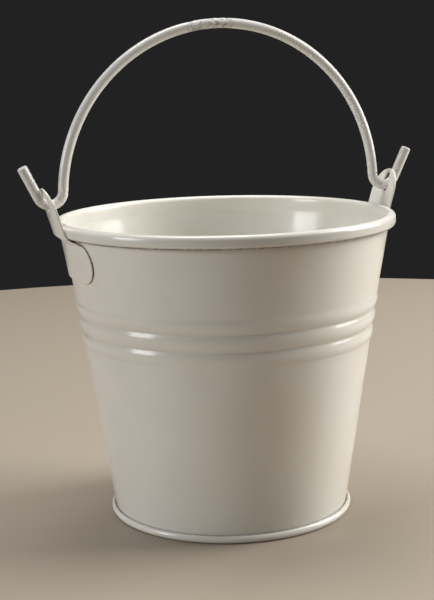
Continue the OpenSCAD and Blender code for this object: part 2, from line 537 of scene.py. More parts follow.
@dataclass(frozen=True)
class IvoryEnamel:
    """Glossy ivory enamel, sprayed and fired over bent steel."""

    name: str
    coat: Colour = (0.80, 0.782, 0.718)
    warm: Colour = (0.775, 0.745, 0.668)
    # Dark colour that the painted shade in creases, tucks and along the ears' edges blends towards; the
    # pinhole specks take it too.
    shade_and_marks: Colour = (0.16, 0.13, 0.10)
    gloss_low: float = 0.12
    gloss_high: float = 0.24
    peel_rise: float = 0.016
    peel_length: float = 2.4
    speck_share: float = 0.10
    speck_cell: float = 6.0
    speck_radius: float = 0.16
    speck_depth: float = 0.04
    speck_grime: float = 0.8
    cloud_length: float = 26.0
    crevice_break_length: float = 1.1
    crevice_rough: float = 0.4
    swell_length: float = 14.0
    swell_rise: float = 0.10
    gloss_length: float = 9.0

    def make(self) -> bpy.types.Material:
        """Builds the finish.

        Returns:
            The material.
        """
        material = bpy.data.materials.new(self.name)
        material.use_nodes = True
        bench = Bench(material.node_tree)
        bench.tree.nodes.clear()
        place = bench.put("ShaderNodeTexCoord").outputs["Object"]
        colour, rise, rough = self.layers(bench, place)
        bump = bench.put("ShaderNodeBump", {"Strength": 1.0, "Distance": MM, "Height": rise})
        shader = bench.put(
            "ShaderNodeBsdfPrincipled",
            {"Base Color": colour, "Roughness": rough, "Normal": bump.outputs[0], "IOR": 1.52},
        )
        bench.put("ShaderNodeOutputMaterial", {"Surface": shader.outputs[0]})
        return material

    def noise(self, bench: Bench, place: Socket, length: float, detail: float = 2.0) -> Socket:
        """Noise from 0 to 1 whose swells are length millimetres apart."""
        scale = 1.0 / (length * MM)
        node = bench.put("ShaderNodeTexNoise", {"Vector": place, "Scale": scale, "Detail": detail})
        return node.outputs[0]

    def specks(self, bench: Bench, place: Socket) -> Socket:
        """Tiny pinholes scattered over the coat.

        Args:
            bench: The bench of the material's tree.
            place: Object coordinates.

        Returns:
            1 in a pinhole and 0 elsewhere.
        """
        cells = bench.put("ShaderNodeTexVoronoi", {"Vector": place, "Scale": 1.0 / (self.speck_cell * MM)})
        radius = self.speck_radius / self.speck_cell
        spot = bench.ease(cells.outputs["Distance"], 0.6 * radius, 1.3 * radius, 1.0, 0.0)
        chance = bench.put("ShaderNodeSeparateColor", {0: cells.outputs["Color"]}).outputs[0]
        picked = bench.math("LESS_THAN", chance, self.speck_share)
        return bench.math("MULTIPLY", spot, picked)

    def layers(self, bench: Bench, place: Socket) -> Layers:
        """The colour, the height in millimetres and the roughness of the coat.

        Args:
            bench: The bench of the material's tree.
            place: Object coordinates.

        Returns:
            The sockets of the colour, the height and the roughness.
        """
        cloud = self.noise(bench, place, self.cloud_length, 3.0)
        tint = bench.blend(bench.ease(cloud, 0.35, 0.7), self.coat, self.warm)
        # Painted shade: the tuck numbers darken the coat in creases, under the rim's curl, where the bottom
        # rests and along the ears' edges, broken up by noise. Under the curl they also stand for the bare
        # raw edge.
        tuck = bench.put("ShaderNodeAttribute", attribute_name="tuck").outputs["Fac"]
        broken = bench.ease(self.noise(bench, place, self.crevice_break_length, 3.0), 0.25, 0.6, 0.35, 1.0)
        shade_and_edge = bench.math("MULTIPLY", tuck, broken, clamp=True)
        tint = bench.blend(shade_and_edge, tint, self.shade_and_marks)
        speck = self.specks(bench, place)
        tint = bench.blend(bench.math("MULTIPLY", speck, self.speck_grime), tint, self.shade_and_marks)
        peel = bench.math("MULTIPLY", self.noise(bench, place, self.peel_length), self.peel_rise)
        swell = bench.math("MULTIPLY", self.noise(bench, place, self.swell_length, 1.0), self.swell_rise)
        rise = bench.math("ADD", peel, swell)
        rise = bench.math("SUBTRACT", rise, bench.math("MULTIPLY", speck, self.speck_depth))
        patches = self.noise(bench, place, self.gloss_length, 3.0)
        rough = bench.ease(patches, 0.3, 0.7, self.gloss_low, self.gloss_high)
        rough = bench.math("ADD", rough, bench.math("MULTIPLY", shade_and_edge, self.crevice_rough), clamp=True)
        return tint, rise, rough


@dataclass(frozen=True)
class WireEnamel(IvoryEnamel):
    """The same enamel on the wire, chipped over the crown and worn where it rubs."""

    coat: Colour = (0.80, 0.785, 0.745)
    warm: Colour = (0.775, 0.752, 0.700)
    undercoat: Colour = (0.50, 0.47, 0.43)
    steel: Colour = (0.30, 0.285, 0.27)
    flake_length: float = 1.3
    scuff_length: float = 0.8
    wear_depth: float = 0.05
    wear_rough: float = 0.35

    def layers(self, bench: Bench, place: Socket) -> Layers:
        """Adds the chips and the rubbed places to the plain coat.

        Args:
            bench: The bench of the material's tree.
            place: Object coordinates.

        Returns:
            The sockets of the colour, the height and the roughness.
        """
        tint, rise, rough = super().layers(bench, place)
        patch = bench.put("ShaderNodeAttribute", attribute_name="chipped").outputs["Fac"]
        flakes = self.noise(bench, place, self.flake_length, 4.0)
        chip = bench.math("MULTIPLY", bench.ease(flakes, 0.5, 0.56), patch)
        deep = bench.math("MULTIPLY", bench.ease(flakes, 0.62, 0.66), patch)
        tint = bench.blend(chip, tint, self.undercoat)
        tint = bench.blend(deep, tint, self.steel)
        rubbed = bench.put("ShaderNodeAttribute", attribute_name="rubbed").outputs["Fac"]
        scratches = self.noise(bench, place, self.scuff_length, 4.0)
        scuff = bench.math("MULTIPLY", bench.ease(scratches, 0.5, 0.6), rubbed)
        tint = bench.blend(scuff, tint, self.undercoat)
        worn = bench.math("MAXIMUM", chip, scuff)
        rise = bench.math("SUBTRACT", rise, bench.math("MULTIPLY", worn, self.wear_depth))
        rough = bench.math("ADD", rough, bench.math("MULTIPLY", worn, self.wear_rough), clamp=True)
        return tint, rise, rough


# ---------------------------------------------------------------- sections


@dataclass
class Trace:
    """A line of (radius, height) points, in millimetres."""

    points: list[Point] = field(default_factory=list)

    def to(self, radius: float, height: float, step: float = 0.1) -> "Trace":
        """Goes straight to a point.

        Args:
            radius: Where it ends, from the axis.
            height: Where it ends, from the foot.
            step: Distance between the points that are laid on the way.

        Returns:
            The same trace.
        """
        if not self.points:
            self.points.append((radius, height))
            return self
        start = self.points[-1]
        count = max(1, round(math.dist(start, (radius, height)) / step))
        for part in range(1, count + 1):
            share = part / count
            self.points.append(
                (start[0] + share * (radius - start[0]), start[1] + share * (height - start[1]))
            )
        return self

    def arc(self, centre: Point, radius: float, start: float, end: float, step: float = 0.05) -> "Trace":
        """Goes round part of a circle.

        Args:
            centre: The circle's centre.
            radius: The circle's radius.
            start: First angle in degrees, from the outward direction towards up.
            end: Last angle.
            step: Distance between points.

        Returns:
            The same trace.
        """
        count = max(2, round(math.radians(abs(end - start)) * radius / step))
        for part in range(count + 1):
            angle = math.radians(start + (end - start) * part / count)
            spot = (centre[0] + radius * math.cos(angle), centre[1] + radius * math.sin(angle))
            if not self.points or math.dist(self.points[-1], spot) > 1e-6:
                self.points.append(spot)
        return self

    def softened(self, spread: float, step: float = 0.05) -> "Trace":
        """Rounds every corner and keeps both ends.

        Args:
            spread: How far along the line a corner is spread to each side.
            step: Distance between the points of the result.

        Returns:
            A new trace.
        """
        line = np.array(self.points)
        along = distance_along(line)
        stops = np.linspace(0.0, along[-1], max(2, round(along[-1] / step)) + 1)
        even = np.stack([np.interp(stops, along, line[:, k]) for k in range(2)], axis=1)
        gap = stops[1]
        pad = int(math.ceil(3.0 * spread / gap))
        steps = np.arange(1, pad + 1)[:, None]
        before = even[0] - (even[1] - even[0]) * steps[::-1]
        after = even[-1] + (even[-1] - even[-2]) * steps
        weights = np.exp(-0.5 * (np.arange(-pad, pad + 1) * gap / spread) ** 2)
        weights /= weights.sum()
        padded = np.concatenate([before, even, after])
        smooth = np.stack([np.convolve(padded[:, k], weights, "valid") for k in range(2)], axis=1)
        return Trace([tuple(spot) for spot in smooth])

    def thinned(self, tolerance: float = 0.006, longest: float = 3.0) -> np.ndarray:
        """Drops the points that the shape doesn't need.

        Args:
            tolerance: How far a dropped point may lie off the line.
            longest: The longest step that is left.

        Returns:
            The points that are kept.
        """
        line = np.array(self.points)
        kept = [0]
        end = len(line) - 1
        while kept[-1] < end:
            start = kept[-1]
            reach = start + 1
            while reach < end and self.fits(line[start : reach + 2], tolerance, longest):
                reach += 1
            kept.append(reach)
        return line[kept]

    @staticmethod
    def fits(run: np.ndarray, tolerance: float, longest: float) -> bool:
        """Whether one straight step can stand for a run of points."""
        chord = run[-1] - run[0]
        length = float(np.hypot(*chord))
        if length > longest:
            return False
        off = np.abs(chord[0] * (run[:, 1] - run[0, 1]) - chord[1] * (run[:, 0] - run[0, 0]))
        return float(off.max()) / max(length, 1e-9) < tolerance


class SheetSection:
    """The closed section of a sheet that follows a trace through the middle of its thickness."""

    def __init__(self, middle: np.ndarray, thickness: float, from_axis: bool = False) -> None:
        """Lays both faces of the sheet beside the trace.

        Args:
            middle: Points through the middle of the sheet, in millimetres.
            thickness: The sheet's thickness.
            from_axis: Whether the trace starts on the axis, where the sheet has no edge.
        """
        run = np.gradient(middle, axis=0)
        run[0], run[-1] = middle[1] - middle[0], middle[-1] - middle[-2]
        run /= np.linalg.norm(run, axis=1)[:, None]
        across = np.stack([run[:, 1], -run[:, 0]], axis=1)
        half = thickness / 2
        right, left = middle + half * across, middle - half * across
        if from_axis:
            right[0, 0] = left[0, 0] = 0.0
        start = [] if from_axis else self.cap(middle[0], -run[0], across[0], half)
        end = self.cap(middle[-1], run[-1], across[-1], half)
        self.length = distance_along(middle)
        runs = [
            (right, self.length, 1.0),
            (end, [self.length[-1]] * len(end), 0.0),
            (left[::-1], self.length[::-1], 0.0),
        ]
        if not from_axis:
            runs += [(start[::-1], [0.0] * len(start), 0.0), (right[:1], [0.0], 1.0)]
        self.points = np.concatenate([spots for spots, _, _ in runs])
        self.along = np.concatenate([along for _, along, _ in runs])
        self.outer = np.concatenate([np.full(len(spots), face) for spots, _, face in runs])

    @staticmethod
    def cap(centre: np.ndarray, out: np.ndarray, across: np.ndarray, half: float) -> list[np.ndarray]:
        """A raw edge, rounded by the enamel that covers it.

        Args:
            centre: The middle of the edge.
            out: Direction out of the sheet.
            across: Direction towards its first face.
            half: Half the sheet's thickness.

        Returns:
            Points from the first face to the second.
        """
        angles = np.radians([66.0, 42.0, 18.0, -18.0, -42.0, -66.0])
        return [centre + half * (0.6 * math.cos(a) * out + math.sin(a) * across) for a in angles]

    def mesh(self, name: str, **weights: np.ndarray) -> bpy.types.Mesh:
        """The section as loose points in the XZ plane, in metres.

        Args:
            name: The mesh's name.
            weights: Numbers that the points carry, by name.

        Returns:
            The mesh.
        """
        mesh = bpy.data.meshes.new(name)
        spots = [(radius * MM, 0.0, height * MM) for radius, height in self.points]
        mesh.from_pydata(spots, [], [])
        carry(mesh, outer_face=self.outer, **weights)
        return mesh


def hump(values: np.ndarray, middle: float, spread: float) -> np.ndarray:
    """A smooth hump of height 1 round one value.

    Args:
        values: Where it is read.
        middle: Where it is highest.
        spread: How wide it is.

    Returns:
        The height at each value.
    """
    return np.exp(-0.5 * ((values - middle) / spread) ** 2)


# ---------------------------------------------------------------- pail


@dataclass
class PailWall:
    """The tapered wall: a turned-out hem, three ribs, a lapped side seam and a rolled rim."""

    rim_radius: float = 54.98
    height: float = 98.0
    sheet: float = 0.5
    foot_radius: float = 38.2
    slope: float = 0.15011
    upper_slope: float = 0.16965
    mouth_height: float = 92.6
    curl_radius: float = 1.5
    curl_low: float = 95.3
    curl_gap: float = 0.35
    rib_middle: float = 64.8
    rib_pitch: float = 5.5
    rib_arc: float = 4.8735
    rib_proud: float = 0.4
    crease_spread: float = 0.28
    hem_radius: float = 39.3
    hem_height: float = 1.3
    lap_width: float = 5.0
    lap_rise: float = 0.46
    lap_foot: float = 3.7
    lap_head: float = 93.1
    columns: int = 340
    seam_gather: float = 0.72
    waver: float = 0.05
    waver_length: float = 30.0
    edge_wander: float = 0.16
    edge_band: float = 0.9
    seed: float = 3.0
    rib_run_out: float = 2.4
    rim_calm: float = 6.0
    foot_calm: float = 4.0
    foot_calm_fade: float = 8.0
    # Painted shade: how far back from the curl's raw edge it reaches, how fast it fades in, and how strong
    # it is by the rim, over the hem and in the creases.
    dark_from: float = 1.85
    dark_fade: float = 0.22
    rim_shade: float = 0.6
    hem_line: float = 2.7
    hem_shade: float = 0.35
    crease_shade: float = 0.10
    line_spread: float = 0.22

    @property
    def calm_height(self) -> float:
        """Where the sheet stops wavering, just under the mouth."""
        return self.mouth_height - 1.0

    def rib(self, along: float) -> float:
        """How far the sheet stands off the cone, at a distance up the cone from the middle rib.

        Args:
            along: Distance up the cone, in millimetres.

        Returns:
            The distance out of the cone.
        """
        nearest = max(-1, min(1, round(along / self.rib_pitch)))
        off = along - nearest * self.rib_pitch
        if abs(off) >= self.rib_arc:
            return 0.0
        rise = self.rib_proud - self.rib_arc + math.sqrt(self.rib_arc**2 - off**2)
        outside = abs(along) > self.rib_pitch
        return max(rise, 0.0) if outside else rise

    def middle(self) -> np.ndarray:
        """The line through the middle of the sheet, from the hem to the raw edge of the curl.

        Returns:
            Its points.
        """
        half = self.sheet / 2
        lean = math.atan(self.slope)
        in_cone = half / math.cos(lean)
        rib_reach = self.rib_pitch + self.rib_run_out
        up = (math.sin(lean), math.cos(lean))
        out = (math.cos(lean), -math.sin(lean))
        crest = (self.foot_radius + self.slope * self.rib_middle - in_cone, self.rib_middle)
        wall = Trace().to(self.hem_radius, self.hem_height)
        wall.to(self.foot_radius + self.slope * self.hem_height - in_cone, self.hem_height)
        for along in np.arange(-rib_reach, rib_reach + 0.01, 0.05):
            rise = self.rib(float(along))
            spot = [crest[k] + along * up[k] + rise * out[k] for k in range(2)]
            wall.to(spot[0], spot[1])
        mouth_radius = self.rim_radius - 2 * self.curl_radius + half
        wall.to(mouth_radius, self.mouth_height)
        wall.to(mouth_radius, self.curl_low)
        wall = wall.softened(self.crease_spread)
        centre_radius = self.rim_radius - self.curl_radius
        loop = self.curl_radius - half
        high = self.height - self.curl_radius
        wall.points[-1] = (mouth_radius, self.curl_low)
        edge_radius = mouth_radius + half + self.curl_gap
        edge_turn = -math.degrees(math.acos((edge_radius - centre_radius) / loop))
        curl = Trace([wall.points[-1]]).to(mouth_radius, high)
        curl.arc((centre_radius, high), loop, 180, 0)
        curl.to(centre_radius + loop, self.curl_low)
        curl.arc((centre_radius, self.curl_low), loop, 0, edge_turn)
        return np.concatenate([wall.thinned(), curl.thinned()[1:]])

    def slack(self, height: np.ndarray) -> np.ndarray:
        """How freely the sheet wavers, which it doesn't by the rim and the foot."""
        below_rim = np.clip((self.calm_height - height) / self.rim_calm, 0.0, 1.0)
        above_foot = np.clip((height - self.foot_calm) / self.foot_calm_fade, 0.0, 1.0)
        return below_rim * above_foot

    def shade_and_marks(self, section: SheetSection) -> np.ndarray:
        """How much painted shade darkens the coat inside the curl, behind it, over the hem and in the
        creases.

        Args:
            section: The wall's section.

        Returns:
            A number from 0 to 1 for each of its points.
        """
        radius, height = section.points.T
        end = section.length[-1]
        to_edge = end - section.along
        # Painted shade on the underside of the curl by its edge, where it also stands for the bare raw edge.
        turned_under = np.clip((self.dark_from - to_edge) / self.dark_fade, 0.0, 1.0) * (1.0 - section.outer)
        dark = turned_under * np.where(to_edge > 0.8, 1.0, self.rim_shade)
        # Painted shade on the outer face that is hidden behind the curl.
        behind = (radius > self.rim_radius - 2 * self.curl_radius) & (height > self.mouth_height + 1.4)
        hidden = behind & (section.along < end - 6.0) & (section.outer > 0.5)
        dark = np.maximum(dark, np.where(hidden, self.rim_shade, 0.0))
        # A painted shade line where the wall meets the bottom's bead.
        hem = section.outer * hump(height, self.hem_line, self.line_spread)
        dark = np.maximum(dark, self.hem_shade * hem)
        # Painted shade in the creases between the ribs.
        for side in (-1, 1):
            crease = self.rib_middle + side * self.rib_pitch / 2
            dark = np.maximum(dark, self.crease_shade * hump(height, crease, self.line_spread))
        return dark

    def build(self, tree: TurnedSheetTree, finish: bpy.types.Material) -> bpy.types.Object:
        """Turns the wall.

        Args:
            tree: The tree that turns a section.
            finish: The enamel.

        Returns:
            The finished wall.
        """
        section = SheetSection(self.middle(), self.sheet)
        height = section.points[:, 1]
        to_edge = section.length[-1] - section.along
        raw_edge = np.clip(1.0 - to_edge / self.edge_band, 0.0, 1.0) ** 1.5
        blank = section.mesh(
            "wall_section", slack=self.slack(height), raw_edge=raw_edge, tuck=self.shade_and_marks(section)
        )
        values = {
            "Finish": finish,
            "Columns": self.columns,
            "Seam gather": self.seam_gather,
            "Lap width": self.lap_width * MM,
            "Lap rise": self.lap_rise * MM,
            "Lap foot": self.lap_foot * MM,
            "Lap head": self.lap_head * MM,
            "Waver": self.waver * MM,
            "Waver length": self.waver_length * MM,
            "Edge wander": self.edge_wander * MM,
            "Seed": self.seed,
        }
        piece = tree.form("pail_wall", blank, values)
        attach(piece, Body.PAIL.value)
        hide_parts("wall")
        return piece


@dataclass
class PailBottom:
    """The bottom: a floor panel, a skirt inside the wall and a seam bead rolled round the hem."""

    wall: PailWall
    sheet: float = 0.5
    fit_gap: float = 0.02
    floor_height: float = 3.5
    seam_centre: float = 38.7
    seam_radius: float = 1.3
    seam_end: float = 78.0
    corner_spread: float = 0.22
    columns: int = 300

    def middle(self) -> np.ndarray:
        """The line through the middle of the sheet, from the axis out to the edge of the bead.

        Returns:
            Its points.
        """
        half = self.sheet / 2
        inside = self.wall.sheet + self.fit_gap + half
        top = self.floor_height - half
        corner = self.wall.foot_radius + self.wall.slope * top - inside
        foot = Trace().to(0.0, top).to(corner, top)
        foot.to(self.wall.foot_radius - inside, half)
        foot.to(self.seam_centre, half)
        foot = foot.softened(self.corner_spread)
        foot.points[-1] = (self.seam_centre, half)
        flat = foot.thinned(longest=6.0)
        flat[0, 0] = 0.0
        bead = Trace([(self.seam_centre, half)])
        bead.arc((self.seam_centre, self.seam_radius), self.seam_radius - half, -90, self.seam_end)
        return np.concatenate([flat, bead.thinned()[1:]])

    def build(self, tree: TurnedSheetTree, finish: bpy.types.Material) -> bpy.types.Object:
        """Turns the bottom.

        Args:
            tree: The tree that turns a section.
            finish: The enamel.

        Returns:
            The finished bottom.
        """
        section = SheetSection(self.middle(), self.sheet, from_axis=True)
        radius, height = section.points.T
        to_edge = section.length[-1] - section.along
        # Painted shade in the tuck at the bead's raw edge, and a painted contact shadow where the bead rests
        # on the floor.
        tuck = 0.8 * np.clip(1.0 - to_edge / 0.5, 0.0, 1.0)
        contact_shade = np.clip(1.0 - height / 0.3, 0.0, 1.0) * (radius > 36.0)
        tuck = np.maximum(tuck, 0.25 * contact_shade)
        none = np.zeros(len(radius))
        blank = section.mesh("bottom_section", slack=none, raw_edge=none, tuck=tuck)
        values = {
            "Finish": finish,
            "Columns": self.columns,
            "Seam gather": 0.0,
            "Lap width": 0.0,
            "Lap rise": 0.0,
            "Lap foot": 1.0,
            "Lap head": 1.0,
            "Waver": 0.0,
            "Waver length": 0.03,
            "Edge wander": 0.0,
            "Seed": 5.0,
        }
        piece = tree.form("pail_bottom", blank, values)
        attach(piece, Body.PAIL.value)
        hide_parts("bottom_disc")
        return piece


@dataclass
class Skin:
    """The points and faces of a sheet while they are gathered."""

    spots: list[np.ndarray] = field(default_factory=list)
    depths: list[float] = field(default_factory=list)
    shade_and_marks: list[float] = field(default_factory=list)
    faces: list[list[int]] = field(default_factory=list)

    def add(self, spots: np.ndarray, depth: float, shade_and_marks: np.ndarray) -> int:
        """Adds points that lie at one depth in the sheet.

        Args:
            spots: Their (across, height) places.
            depth: How far they lie outside the inner face.
            shade_and_marks: How much painted shade darkens the coat at each.

        Returns:
            The number of the first of them.
        """
        start = len(self.depths)
        self.spots.extend(spots)
        self.depths.extend([depth] * len(spots))
        self.shade_and_marks.extend(shade_and_marks)
        return start

    def belt(self, first: int, second: int, count: int, sign: int) -> None:
        """Adds the faces between two loops of the same number of points."""
        for k in range(count):
            after = (k + 1) % count
            ring = [first + k, first + after, second + after, second + k]
            self.faces.append(ring if sign > 0 else ring[::-1])


@dataclass
class Ear:
    """An ear bent from flat sheet: a pad welded to the wall and a tongue that holds the bail."""

    sheet: float = 0.6
    line: tuple[Point, ...] = ((50.416, 80.2), (52.486, 92.4), (54.91, 94.38), (59.432, 109.4))
    bend_spread: float = 0.24
    pad_half: float = 16.75
    pad_low: float = 80.2
    pad_high: float = 93.4
    tongue_half: float = 7.8
    tip: float = 109.4
    neck_fillet: float = 2.0
    hole_height: float = 104.5
    hole_radius: float = 2.5
    hole_tip_rise: float = 2.8
    hole_tip_radius: float = 1.1
    edge_round: float = 0.22
    edge_turns: tuple[float, ...] = (0.0, 20.0, 42.0, 66.0, 90.0)
    face_strip: float = 0.1
    grid: float = 0.9
    bend_grid: float = 0.3
    bend_reach: float = 1.8
    clearance: float = 0.42
    # How much painted shade darkens the pad's edge, from its middle towards the outer face and towards the
    # wall.
    crevice: ClassVar[dict[int, tuple[float, ...]]] = {
        1: (0.75, 0.3, 0.0, 0.0),
        -1: (0.95, 1.0, 1.0, 1.0),
    }

    def outline(self) -> np.ndarray:
        """The outline seen from outside, as (across, height) points, anticlockwise.

        Returns:
            The points.
        """
        end = (self.pad_high - self.pad_low) / 2
        seat = self.pad_half - end
        middle = (self.pad_high + self.pad_low) / 2
        neck = self.neck_fillet
        crown = self.tip - self.tongue_half
        half = Trace().to(0.0, self.pad_low).to(seat, self.pad_low, 0.5)
        half.arc((seat, middle), end, -90, 90, 0.45)
        half.to(self.tongue_half + neck, self.pad_high, 0.4)
        half.arc((self.tongue_half + neck, self.pad_high + neck), neck, 270, 180, 0.25)
        half.to(self.tongue_half, crown, 0.5)
        half.arc((0.0, crown), self.tongue_half, 0, 90, 0.45)
        right = np.array(half.points)
        left = right[1:-1][::-1] * (-1, 1)
        return np.concatenate([right, left])

    def hole(self) -> np.ndarray:
        """The outline of the hole, round below and narrow at the top, anticlockwise.

        Returns:
            The points.
        """
        eye = np.array([0.0, self.hole_height + 0.9])
        angles = np.linspace(0, math.tau, 72, endpoint=False)
        ways = np.stack([np.cos(angles), np.sin(angles)], axis=1)
        low, high = 0.8 * self.hole_radius, 0.9 * self.hole_tip_radius
        top = self.hole_height + self.hole_tip_rise
        reach = np.zeros(len(angles))
        for height, radius in ((self.hole_height, self.hole_radius), (top, self.hole_tip_radius)):
            offset = eye - (0.0, height)
            b = ways @ offset
            root = b**2 - (offset @ offset - radius**2)
            reach = np.maximum(reach, np.where(root > 0, -b + np.sqrt(np.maximum(root, 0)), 0))
        flank = np.array([low - high, top - self.hole_height])
        for side in (-1, 1):
            start = np.array([side * low, self.hole_height])
            run = np.array([-side * flank[0], flank[1]])
            cross = ways[:, 0] * run[1] - ways[:, 1] * run[0]
            cross = np.where(np.abs(cross) < 1e-9, 1e-9, cross)
            gap = start - eye
            far = (gap[0] * run[1] - gap[1] * run[0]) / cross
            share = (gap[0] * ways[:, 1] - gap[1] * ways[:, 0]) / cross
            on_flank = (far > 0) & (share >= 0) & (share <= 1)
            reach = np.maximum(reach, np.where(on_flank, far, 0))
        wide = np.concatenate([reach[-3:], reach, reach[:3]])
        reach = np.convolve(wide, np.array([1, 3, 5, 6, 5, 3, 1]) / 24, "valid")
        return eye + ways * reach[:, None]

    @staticmethod
    def inset(loop: np.ndarray, distance: float) -> np.ndarray:
        """A loop moved to its left by a distance, which is inwards for an anticlockwise one."""
        run = np.roll(loop, -1, axis=0) - np.roll(loop, 1, axis=0)
        run /= np.linalg.norm(run, axis=1)[:, None]
        return loop + distance * np.stack([-run[:, 1], run[:, 0]], axis=1)

    def bent(self, flat: np.ndarray, depth: np.ndarray, side: Side) -> np.ndarray:
        """Bends points of the flat outline onto the ear.

        Args:
            flat: (across, height) points.
            depth: How far each lies outside the inner face, in millimetres.
            side: Which side of the pail the ear stands on.

        Returns:
            The places, in metres.
        """
        corners = Trace()
        low, high = self.line[0], self.line[-1]
        first = (self.line[1][0] - low[0]) / (self.line[1][1] - low[1])
        last = (high[0] - self.line[-2][0]) / (high[1] - self.line[-2][1])
        corners.to(low[0] - 2 * first, low[1] - 2)
        for spot in self.line[1:-1]:
            corners.to(*spot)
        corners.to(high[0] + 2 * last, high[1] + 2)
        line = np.array(corners.softened(self.bend_spread).points)
        inner = np.interp(flat[:, 1], line[:, 1], line[:, 0])
        slope = np.gradient(line[:, 0], line[:, 1])
        lean = np.arctan(np.interp(flat[:, 1], line[:, 1], slope))
        radius = inner + depth / np.cos(lean)
        out = side.value * np.sqrt(radius**2 - flat[:, 0] ** 2)
        return np.stack([out, side.value * flat[:, 0], flat[:, 1]], axis=1) * MM

    def filling(self, outer: np.ndarray, inner: np.ndarray) -> tuple[np.ndarray, list]:
        """Fills the flat between the outline and the hole with triangles.

        Args:
            outer: The loop inside the outline.
            inner: The loop round the hole.

        Returns:
            The extra points, and the triangles over both loops and those points.
        """
        rows = [self.pad_low + 0.5]
        while rows[-1] < self.tip:
            bend = min(abs(rows[-1] - spot[1]) for spot in self.line[1:-1])
            rows.append(rows[-1] + (self.bend_grid if bend < self.bend_reach else self.grid))
        spots = []
        loops = np.concatenate([outer, inner])
        across = np.arange(-self.pad_half, self.pad_half + 0.01, self.grid)
        for number, height in enumerate(rows):
            for place in across + (self.grid / 2 if number % 2 else 0):
                spot = np.array([place, height])
                clear = np.linalg.norm(loops - spot, axis=1).min()
                if clear > self.clearance and inside(spot, outer) and not inside(spot, inner):
                    spots.append(spot)
        extra = np.array(spots)
        every = [Vector(spot) for spot in np.concatenate([loops, extra])]
        count, total = len(outer), len(loops)
        edges = [(k, (k + 1) % count) for k in range(count)]
        edges += [(k, count + (k + 1 - count) % (total - count)) for k in range(count, total)]
        found = geometry.delaunay_2d_cdt(every, edges, [], 0, 1e-7)
        places, faces, origins = found[0], found[2], found[3]
        triangles = []
        for face in faces:
            middle = np.mean([tuple(places[k]) for k in face], axis=0)
            if inside(middle, outer) and not inside(middle, inner):
                triangles.append([origins[k][0] for k in face])
        return extra, triangles

    def rim(self, skin: Skin, loop: np.ndarray, steps: list[Point]) -> dict[int, int]:
        """Rounds one raw edge of the sheet, from its middle to both faces.

        Args:
            skin: What has been gathered, added to.
            loop: The outline or the hole.
            steps: How far inwards and outwards each loop of the rounding lies.

        Returns:
            The number of the last loop's first point, by face.
        """
        middle = self.sheet / 2
        seated = loop[:, 1] < self.pad_high - 0.3
        first: dict[int, int] = {}
        last: dict[int, int] = {}
        for sign in (1, -1):
            for number, (inward, rise) in enumerate(steps):
                depth = middle + sign * (middle - self.edge_round + rise)
                # Painted shade along the seated pad's edge, strongest on its side against the wall.
                crevice = self.crevice[sign][min(number, 3)]
                start = skin.add(self.inset(loop, inward), depth, crevice * seated)
                if number:
                    skin.belt(last[sign], start, len(loop), sign)
                else:
                    first[sign] = start
                last[sign] = start
        skin.belt(first[1], first[-1], len(loop), -1)
        return last

    def skin(self) -> Skin:
        """The whole surface of the ear while it is still flat.

        Returns:
            Its points and faces.
        """
        turns = np.radians(self.edge_turns)
        steps = [(self.edge_round * (1 - math.cos(a)), self.edge_round * math.sin(a)) for a in turns]
        steps.append((self.edge_round + self.face_strip, self.edge_round))
        loops = (self.outline(), self.hole()[::-1])
        skin = Skin()
        starts = [self.rim(skin, loop, steps) for loop in loops]
        outer, inner = (self.inset(loop, steps[-1][0]) for loop in loops)
        extra, triangles = self.filling(outer, inner)
        for sign in (1, -1):
            added = skin.add(extra, self.sheet / 2 * (1 + sign), np.zeros(len(extra)))
            groups = ((starts[0][sign], outer), (starts[1][sign], inner), (added, extra))
            numbers = [start + k for start, group in groups for k in range(len(group))]
            for face in triangles:
                ring = [numbers[k] for k in face]
                skin.faces.append(ring if sign > 0 else ring[::-1])
        return skin

    def build(self, name: str, node: str, side: Side, finish: bpy.types.Material) -> bpy.types.Object:
        """Cuts, rounds and bends the ear.

        Args:
            name: The piece's name.
            node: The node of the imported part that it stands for.
            side: Which side of the pail it stands on.
            finish: The enamel.

        Returns:
            The finished ear.
        """
        skin = self.skin()
        places = self.bent(np.array(skin.spots), np.array(skin.depths), side)
        mesh = bpy.data.meshes.new(name)
        mesh.from_pydata(places, [], skin.faces)
        mesh.materials.append(finish)
        carry(mesh, tuck=np.array(skin.shade_and_marks))
        mesh.validate()
        face_outwards(mesh)
        piece = into_scene(name, mesh)
        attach(piece, Body.PAIL.value)
        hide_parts(node)
        return piece


def inside(spot: np.ndarray, loop: np.ndarray) -> bool:
    """Whether a point lies inside a loop.

    Args:
        spot: The point.
        loop: The loop's points in order.

    Returns:
        True where it does.
    """
    x, y = spot
    ahead = np.roll(loop, -1, axis=0)
    crosses = (loop[:, 1] > y) != (ahead[:, 1] > y)
    rise = np.where(crosses, ahead[:, 1] - loop[:, 1], 1.0)
    at = loop[:, 0] + (y - loop[:, 1]) / rise * (ahead[:, 0] - loop[:, 0])
    return bool(np.count_nonzero(crosses & (at > x)) % 2)


